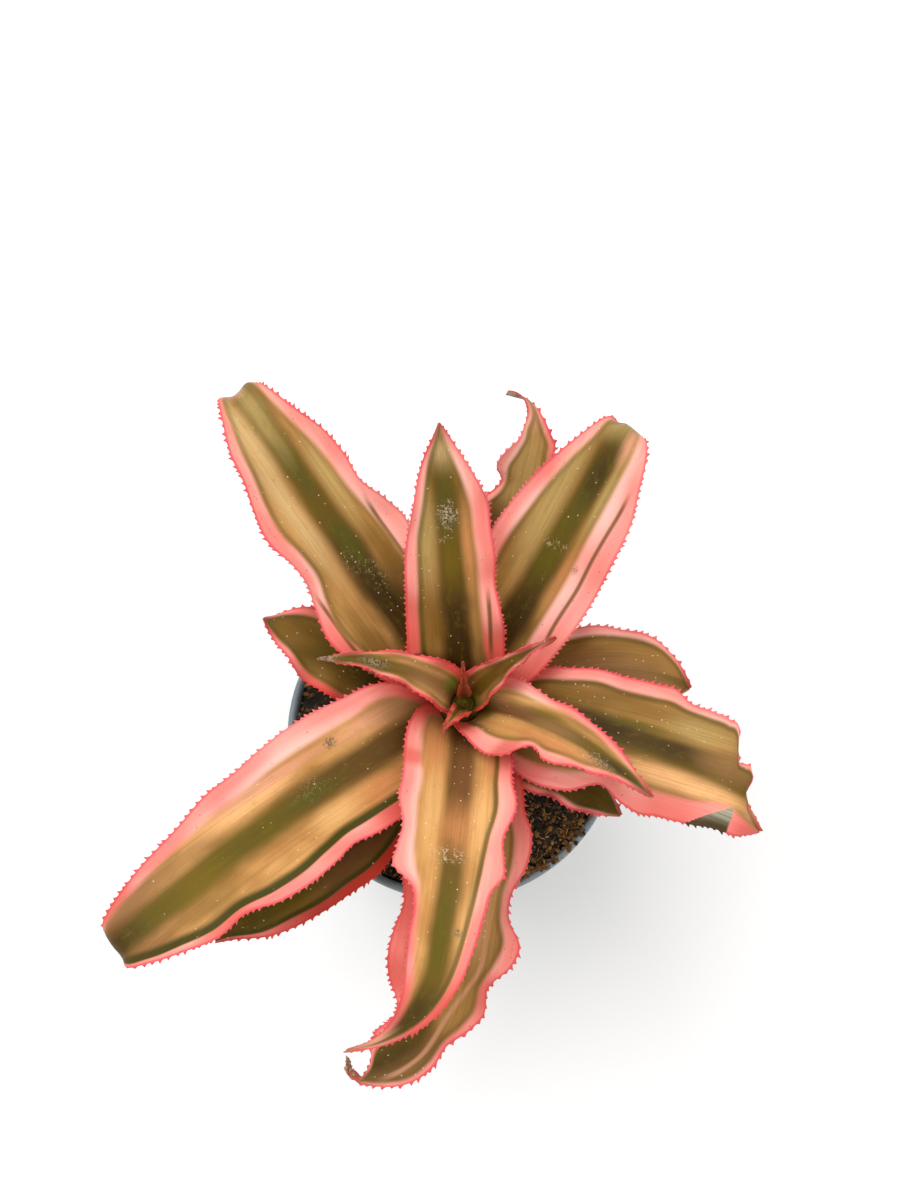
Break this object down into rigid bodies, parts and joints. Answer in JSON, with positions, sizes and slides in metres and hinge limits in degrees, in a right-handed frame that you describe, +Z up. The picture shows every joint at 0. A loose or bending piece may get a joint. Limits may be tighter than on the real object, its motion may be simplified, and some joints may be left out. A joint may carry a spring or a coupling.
{
  "type": "earth star plant",
  "caption": "Low rosette of wavy, spiny-margined striped leaves on a short stem, growing in peat in a small round tapered nursery pot.",
  "frame": {"origin": "on the surface that it stands on, at the middle of the pot's base", "axes": "+Z up along the pot's axis; +Y towards the tall pointed leaf, +X to its right"},
  "size_m": [0.1097, 0.1192, 0.1056],
  "materials": {
    "pot_plastic": "thin matt dark blue-grey plastic",
    "peat": "damp crumbly peat with fibres",
    "stem_flesh": "matt, covered by old leaf bases",
    "leaf": "satin skin: dark olive middle, tan bands, pink spiny margins",
    "old_leaf": "satin skin: dark olive with narrow pink spiny margins",
    "heart_leaf": "satin skin: olive and tan with narrow pink margins"
  },
  "bodies": {
    "root": {"nursery_pot": "pot_plastic", "potting_soil": "peat", "stem": "stem_flesh", "leaf_01": "old_leaf", "leaf_02": "old_leaf", "leaf_03": "old_leaf", "leaf_04": "old_leaf", "leaf_05": "old_leaf", "leaf_06": "leaf", "leaf_07": "leaf", "leaf_08": "leaf", "leaf_09": "leaf", "leaf_10": "leaf", "leaf_11": "leaf", "leaf_12": "leaf", "leaf_13": "leaf", "leaf_14": "heart_leaf", "leaf_15": "heart_leaf", "leaf_16": "heart_leaf", "leaf_17": "heart_leaf"}
  },
  "joints": []
}
